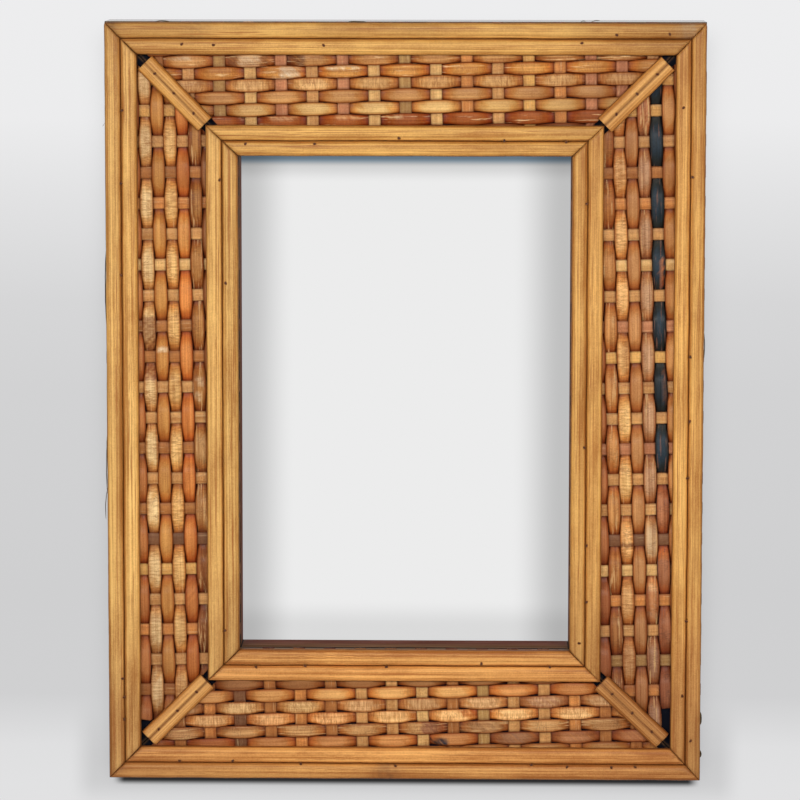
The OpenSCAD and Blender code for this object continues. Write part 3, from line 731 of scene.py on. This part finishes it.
for n, (x, yFront, z, yBack) in enumerate(places):
    behind = yBack > -0.0005
    close = surface[np.hypot(surface[:, 0] - x, surface[:, 2] - z) < pinLook["search"]]
    top = yBack - pinLook["short"] if behind else (close[:, 1].min() if len(close) else yFront)
    way = 1 if behind else -1
    reach = pinLook["size"] * radius * (1 + 0.16 * np.sin(2 * turn + 1.7 * n) + 0.07 * np.sin(3 * turn + n))
    points = stacked(x + reach * np.cos(turn) * mm, top + way * proud * mm, z + reach * np.sin(turn) * mm)
    tint = opaque(colour(*pinLook["rim"]) * (1 - dark) + colour(*pinLook["dark"]) * dark)
    tint = np.broadcast_to(tint[:, None, :], points.shape[:2] + (4,))
    tubes.append({"points": points, "grain": points + 0.1 * n, "soilAndShade": 0.0 * points[..., 0], "tint": tint})
makePiece("cane_pins_steel", tubes, cane["smooth"], ["cane_pins"], sharp=35)
print("stage: pins made", len(places))

# fibres that have worked loose along the edges: start and end (x, z), bow and radius, in millimetres
fibreLook = {"front": -22.2, "shade": (74, 62, 38), "sway": 0.05, "lines": [
    ((-100.9, -127.0), (-101.1, -148.0), -0.25, 0.16), ((-101.0, -146.0), (-101.6, -156.8), -0.35, 0.13),
    ((-100.9, -64.0), (-101.0, -90.0), -0.30, 0.16), ((-100.9, -22.0), (-101.7, -23.2), 0.1, 0.14),
    ((62.0, 11.9), (65.2, 12.5), 0.3, 0.12), ((58.6, 11.9), (60.4, 12.3), 0.3, 0.12),
    ((-84, 11.9), (-79, 12.1), 0.25, 0.13),
    ((100.9, -222.4), (101.0, -226.8), 0.12, 0.42), ((100.9, -235.6), (101.0, -238.2), 0.3, 0.28),
    ((100.9, -92.0), (101.0, -101.0), 0.2, 0.14), ((-20, 11.9), (-13, 12.0), 0.2, 0.12)]}
tubes = []
for n, ((xa, za), (xb, zb), bow, thick) in enumerate(fibreLook["lines"]):
    f = np.linspace(0, 1, 14)[:, None]
    turn = np.linspace(0, 2 * np.pi, 6, endpoint=False)
    length = np.hypot(xb - xa, zb - za)
    # they bow upward along the top edge and outward along the side edges
    facing = 1 if abs(zb - za) < abs(xb - xa) else -np.sign(zb - za) * np.sign(xa)
    aside = np.array([-(zb - za), xb - xa]) / length * facing
    swell = thick * np.clip(4 * f * (1 - f), 0.02, 1) ** 0.4
    lean = abs(bow) * np.sin(np.pi * f) + fibreLook["sway"] * drift(f * length, 600 + n, 6)
    x = xa + (xb - xa) * f + aside[0] * lean + swell * np.cos(turn) * abs(aside[0])
    z = za + (zb - za) * f + aside[1] * lean + swell * np.cos(turn) * abs(aside[1])
    points = stacked(x * mm, (fibreLook["front"] + swell * np.sin(turn)) * mm, z * mm)
    tubes.append({"points": points, "grain": points, "soilAndShade": 0.0 * x,
                  "tint": np.broadcast_to(np.append(colour(*fibreLook["shade"]), 1), points.shape[:2] + (4,))})
makePiece("loose_fibres", tubes, cane["smooth"])
print("stage: loose fibres made", len(tubes))


# finishes for the nodes that stay as built: rails, fasteners, buttons, screws and hanger
woodLook = {"dark": (36, 28, 28), "light": (80, 55, 42), "front": (17, 19, 29), "wallFront": (138, 86, 32),
            "wallBack": (126, 54, 22), "wallLines": (52, 34, 24), "outerDark": (78, 54, 26),
            "outerLight": (112, 84, 36), "scuff": (110, 84, 62), "worn": (112, 82, 58), "joint": (12, 10, 10),
            "specular": 0.03, "rough": (0.45, 0.65), "outerRough": (0.5, 0.08), "glance": (0.90, 0.955),
            "bump": 0.3, "outerBump": 0.03, "bumpDepth": 0.0002}


def woodFinish(name, stretch):
    # dark lacquer over wood: grain stretched along the rail, near black and bluish in front, olive brown on the
    # outer faces, and on the inner walls olive near the mat and maroon towards the back; places are in metres. The
    # front face shows only in the shaded gaps of the mat, and its near black bluish colour is painted shade with a
    # painted bluish reflection
    k = woodLook
    material, tree, shader = newFinish(name, specular=k["specular"])
    place = objectPlace(tree)
    axes = put(tree, "SeparateXYZ", None, {0: place})
    aboutMiddle = plus(axes.outputs["Z"], 0.117)
    away = [calc("ABSOLUTE", axes.outputs["X"]), calc("ABSOLUTE", aboutMiddle)]
    grain = noiseAt(place, 1.0, 4.0, 0.6, stretch)
    scuff = noiseAt(place, 900.0, 3.0, 0.6)
    lines = ramp(grain, 0.38, 0.66)
    base = blendIn(lines, paint(*k["dark"]), paint(*k["light"]))
    # painted shade with a painted bluish reflection: the front face, seen only in the gaps under the mat, is near
    # black
    front = ramp(axes.outputs["Y"], -0.0199, -0.0196, 1.0, 0.0)
    base = blendIn(front, base, paint(*k["front"]))
    depth = ramp(axes.outputs["Y"], -0.0180, -0.0100)
    wall = blendIn(depth, paint(*k["wallFront"]), paint(*k["wallBack"]))
    wall = blendIn(times(lines, 0.5), wall, paint(*k["wallLines"]))
    inside = times(ramp(away[0], 0.0600, 0.0590), ramp(away[1], 0.0880, 0.0870))
    base = blendIn(times(inside, minus(1.0, front)), base, wall)
    outer = calc("MAXIMUM", ramp(away[0], 0.1006, 0.1009), ramp(away[1], 0.1286, 0.1289))
    olive = blendIn(lines, paint(*k["outerLight"]), paint(*k["outerDark"]))
    base = blendIn(outer, base, olive)
    base = blendIn(ramp(scuff, 0.62, 0.78, 0.0, 0.3), base, paint(*k["scuff"]))
    # the joints run at 45 degrees: their distance is the height less the width less 28 mm
    joint = calc("ABSOLUTE", minus(minus(away[1], away[0]), 0.028))
    worn = times(ramp(joint, 0.0016, 0.0002), ramp(scuff, 0.35, 0.65, 0.25, 0.8))
    base = blendIn(worn, base, paint(*k["worn"]))
    base = blendIn(ramp(joint, 0.0004, 0.0002), base, paint(*k["joint"]))
    dull = times(ramp(grain, 0.3, 0.7, *k["rough"]), minus(1.0, outer))
    # the outer faces gloss only at a glance along them
    glance = ramp(put(tree, "LayerWeight").outputs["Facing"], *k["glance"], *k["outerRough"])
    rough = plus(dull, times(outer, glance))
    height = plus(times(grain, 0.6), times(scuff, 0.3))
    strength = minus(k["bump"], times(outer, k["bump"] - k["outerBump"]))
    dress(tree, shader, base, rough, height, strength, k["bumpDepth"])
    return material


def metalFinish(name, light, dark, roughness):
    # worn metal: a fine brushed noise and darker tarnished clouds
    material, tree, shader = newFinish(name, metallic=1.0)
    place = objectPlace(tree)
    brushed = noiseAt(place, 1.0, 2.0, 0.6, (6000, 6000, 400))
    cloud = noiseAt(place, 700.0, 4.0)
    base = blendIn(ramp(cloud, 0.3, 0.85), paint(*light), paint(*dark))
    rough = plus(times(brushed, 0.2), ramp(cloud, 0.3, 0.7, roughness, roughness + 0.2))
    dress(tree, shader, base, rough, brushed, 0.15, 0.00005)
    return material


lacquer = {"level": woodFinish("dark_lacquer_level", (35, 700, 700)),
           "upright": woodFinish("dark_lacquer_upright", (700, 700, 35))}
brass = metalFinish("aged_brass", (206, 170, 104), (132, 98, 56), 0.26)
steel = metalFinish("dull_steel", (150, 148, 146), (92, 86, 82), 0.32)
for name, node in frame["nodes"].items():
    if name.endswith("base_rail"):
        wanted = lacquer["level" if name.startswith(("top", "bottom")) else "upright"]
    elif name.endswith("turn_button") or name == "sawtooth_hanger":
        wanted = brass
    elif name in ("corner_fasteners", "button_screws"):
        wanted = steel
    else:
        continue
    node.data.materials.clear()
    node.data.materials.append(wanted)
print("stage: finishes set on the built nodes")

# stage: camera, light, floor and a plain backdrop that only the camera sees; angles are in degrees
view = {"lens": 189.0, "place": (0.02578, -1.43284, 0.05906), "pitch": 7.055, "yaw": -1.113, "roll": 0.063}
angles = np.radians([view["pitch"], view["yaw"], view["roll"]])
(cp, cy, cr), (sp, sy, sr) = np.cos(angles), np.sin(angles)
forward, right = np.array([sy * cp, cy * cp, -sp]), np.array([cy, -sy, 0.0])
upward = np.cross(right, forward)
turned = np.eye(4)
turned[:3, :3] = np.stack([cr * right + sr * upward, -sr * right + cr * upward, -forward], 1)
turned[:3, 3] = view["place"]
lens = bpy.data.cameras.new("camera")
lens.lens, lens.sensor_width, lens.clip_start, lens.clip_end = view["lens"], 36.0, 0.05, 50.0
camera = newObject("camera", lens)
camera.matrix_world = Matrix(turned.tolist())
bpy.context.scene.camera = camera

studio = {"lampPower": 4.76, "lampColour": (1.0, 0.977, 0.916), "ambient": (0.20, 0.25, 0.32),
          "lampPlaces": [(-0.541, -1.2, 0.2), (0.541, -1.2, 0.2), (0.0, -1.3, 0.22)], "lampSize": (0.42, 0.30),
          "seen": (0.80, 0.80, 0.81)}
for n, place in enumerate(studio["lampPlaces"]):
    lamp = bpy.data.lights.new(f"softbox_{n}", "AREA")
    lamp.shape, lamp.size, lamp.size_y = "ELLIPSE", *studio["lampSize"]
    lamp.energy, lamp.color = studio["lampPower"], studio["lampColour"]
    holder = newObject(f"softbox_{n}", lamp)
    aim = Vector((0, 0, layout["middleZ"] * mm)) - Vector(place)  # at the frame's middle
    holder.matrix_world = Matrix.Translation(place) @ aim.to_track_quat("-Z", "Y").to_matrix().to_4x4()

world = bpy.data.worlds.new("studio")
bpy.context.scene.world = world
world.use_nodes = True
tree = world.node_tree
ray = put(tree, "LightPath")
seen = calc("MAXIMUM", ray.outputs["Is Camera Ray"],
            calc("MAXIMUM", ray.outputs["Is Glossy Ray"], ray.outputs["Is Transmission Ray"]))
shade = blendIn(seen, (*studio["ambient"], 1), (*studio["seen"], 1))
tree.links.new(shade, tree.nodes["Background"].inputs["Color"])


def sheetOf(name, corners, material):
    mesh = bpy.data.meshes.new(name)
    mesh.from_pydata(corners, [], [(0, 1, 2, 3)])
    mesh.materials.append(material)
    made = newObject(name, mesh)
    made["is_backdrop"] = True
    return made


def cameraOnly(made):
    made.visible_diffuse = made.visible_glossy = made.visible_transmission = made.visible_shadow = False


def glowSheet(name):
    # a new material, its empty tree and the object coordinates in it
    material = bpy.data.materials.new(name)
    material.use_nodes = True
    material.node_tree.nodes.clear()
    return material, material.node_tree, objectPlace(material.node_tree)


def glowForward(tree, shade):
    # the sheet gives off its own shade towards the front and can't be seen from behind
    shine = put(tree, "Emission", None, {"Color": shade})
    clear = put(tree, "BsdfTransparent")
    behind = put(tree, "NewGeometry").outputs["Backfacing"]
    both = put(tree, "MixShader", None, {0: behind, 1: shine.outputs[0], 2: clear.outputs[0]})
    put(tree, "OutputMaterial", None, {"Surface": both.outputs[0]})


# backdrop: a glow that fades from the top down, with a contact shadow under the frame's lower edge; a pair of
# places is where a shadow is none and full, and all places are in metres
backdropLook = {"y": 0.0036, "heights": [-0.254, -0.240, -0.222, -0.186, -0.115, -0.085, -0.049, -0.022, 0.016],
                "greys": [225, 223, 208, 207, 210, 214, 226, 236, 237], "lowest": -0.30, "highest": 0.05,
                "creaseReach": 0.012, "creaseTilt": (0.0, -0.35, 0.94), "crease": (0.35, 1.0, 0.50, 1.0),
                "wideDark": 0.18, "wideAside": (0.1180, 0.1080), "wideAbove": (-0.2200, -0.2450),
                "wideBelow": (-0.2640, -0.2520), "closeDark": 0.95, "closeAside": (0.1026, 0.0980),
                "closeAbove": (-0.2400, -0.2450), "closeBelow": (-0.2547, -0.2524)}
k = backdropLook
material, tree, place = glowSheet("backdrop")
depthZ = put(tree, "SeparateXYZ", None, {0: place}).outputs["Z"]
span = put(tree, "MapRange", None, {0: depthZ, 1: k["lowest"], 2: k["highest"]}).outputs[0]
glow = put(tree, "ValToRGB", None, {0: span})
while len(glow.color_ramp.elements) > 1:
    glow.color_ramp.elements.remove(glow.color_ramp.elements[0])
for n, (z, grey) in enumerate(zip(k["heights"], k["greys"])):
    spot = (z - k["lowest"]) / (k["highest"] - k["lowest"])
    element = glow.color_ramp.elements[0] if n == 0 else glow.color_ramp.elements.new(spot)
    element.position, element.color = spot, paint(grey, grey, grey + 1)
# painted shade from ambient occlusion where the backdrop lies close to the frame
tilted = put(tree, "CombineXYZ", None, dict(enumerate(k["creaseTilt"]))).outputs[0]
near = put(tree, "AmbientOcclusion", None, {"Distance": k["creaseReach"], "Normal": tilted})
near.samples = 12
shadow = ramp(near.outputs["AO"], *k["crease"])
# a wide faint painted shadow around the lower part, and a dark painted contact shadow close under the lower edge
across = calc("ABSOLUTE", put(tree, "SeparateXYZ", None, {0: place}).outputs["X"])
for kind in ("wide", "close"):
    area = times(ramp(across, *k[kind + "Aside"]), ramp(depthZ, *k[kind + "Above"]))
    area = times(area, ramp(depthZ, *k[kind + "Below"]))
    shadow = times(shadow, minus(1.0, times(area, k[kind + "Dark"])))
shade = put(tree, "Mix", {"data_type": "RGBA", "blend_type": "MULTIPLY"},
            {0: 1.0, 6: glow.outputs[0], 7: shadow}).outputs[2]
glowForward(tree, shade)
y = k["y"]
cameraOnly(sheetOf("backdrop", [(-3, y, -0.399), (3, y, -0.399), (3, y, 3), (-3, y, 3)], material))

# card behind the opening: white, with the soft shade of the rails along its edges, bluish close under the top;
# a shade is where it starts and ends, in metres, and the light there
cardLook = {"size": (0.095, -0.24, 0.006), "ahead": 0.0002, "white": (236, 236, 236), "blue": (0.60, 0.84, 1.05),
            "leftShade": (-0.0550, -0.0380, 0.65, 1.0), "rightShade": (0.0540, 0.0360, 0.63, 1.0),
            "bottomShade": (-0.1980, -0.1880, 0.84, 1.0), "topShade": (-0.0352, -0.0385, 0.22, 0.75),
            "topFade": (-0.0370, -0.0440, 0.0, 0.25), "blueFrom": (-0.0378, -0.0352)}
k = cardLook
material, tree, place = glowSheet("white_card")
axes = put(tree, "SeparateXYZ", None, {0: place})
cardX, cardZ = axes.outputs["X"], axes.outputs["Z"]
light = times(ramp(cardX, *k["leftShade"]), ramp(cardX, *k["rightShade"]))
light = times(light, ramp(cardZ, *k["bottomShade"]))
light = times(light, plus(ramp(cardZ, *k["topShade"]), ramp(cardZ, *k["topFade"])))
white = blendIn(ramp(cardZ, *k["blueFrom"]), paint(*k["white"]), (*k["blue"], 1))
white = put(tree, "VectorMath", {"operation": "SCALE"}, {0: white, "Scale": light}).outputs[0]
glowForward(tree, white)
y, (wide, low, high) = y - k["ahead"], k["size"]
cameraOnly(sheetOf("white_card", [(-wide, y, low), (wide, y, low), (wide, y, high), (-wide, y, high)], material))

floorLook = {"z": -0.40, "reach": 4, "dark": (224, 224, 226), "light": (230, 230, 231), "blotch": 3.0}
k = floorLook
material, tree, shader = newFinish("pale_floor", roughness=0.8, specular=0.2)
mottle = noiseAt(objectPlace(tree), k["blotch"], 2.0)
pale = blendIn(mottle, paint(*k["dark"]), paint(*k["light"]))
tree.links.new(pale, shader.inputs["Base Color"])
shine = put(tree, "Emission", None, {"Color": pale})
seen = put(tree, "LightPath").outputs["Is Camera Ray"]
both = put(tree, "MixShader", None, {0: seen, 1: shader.outputs[0], 2: shine.outputs[0]})
clear = put(tree, "BsdfTransparent")
below = times(put(tree, "NewGeometry").outputs["Backfacing"], seen)
both = put(tree, "MixShader", None, {0: below, 1: both.outputs[0], 2: clear.outputs[0]})
tree.links.new(both.outputs[0], tree.nodes["Material Output"].inputs["Surface"])
r, z = k["reach"], k["z"]
sheetOf("floor", [(-r, -r, z), (r, -r, z), (r, r, z), (-r, r, z)], material)
bpy.context.scene.view_settings.view_transform = "Standard"
print("stage: camera, light and backdrop made")

low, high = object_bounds()
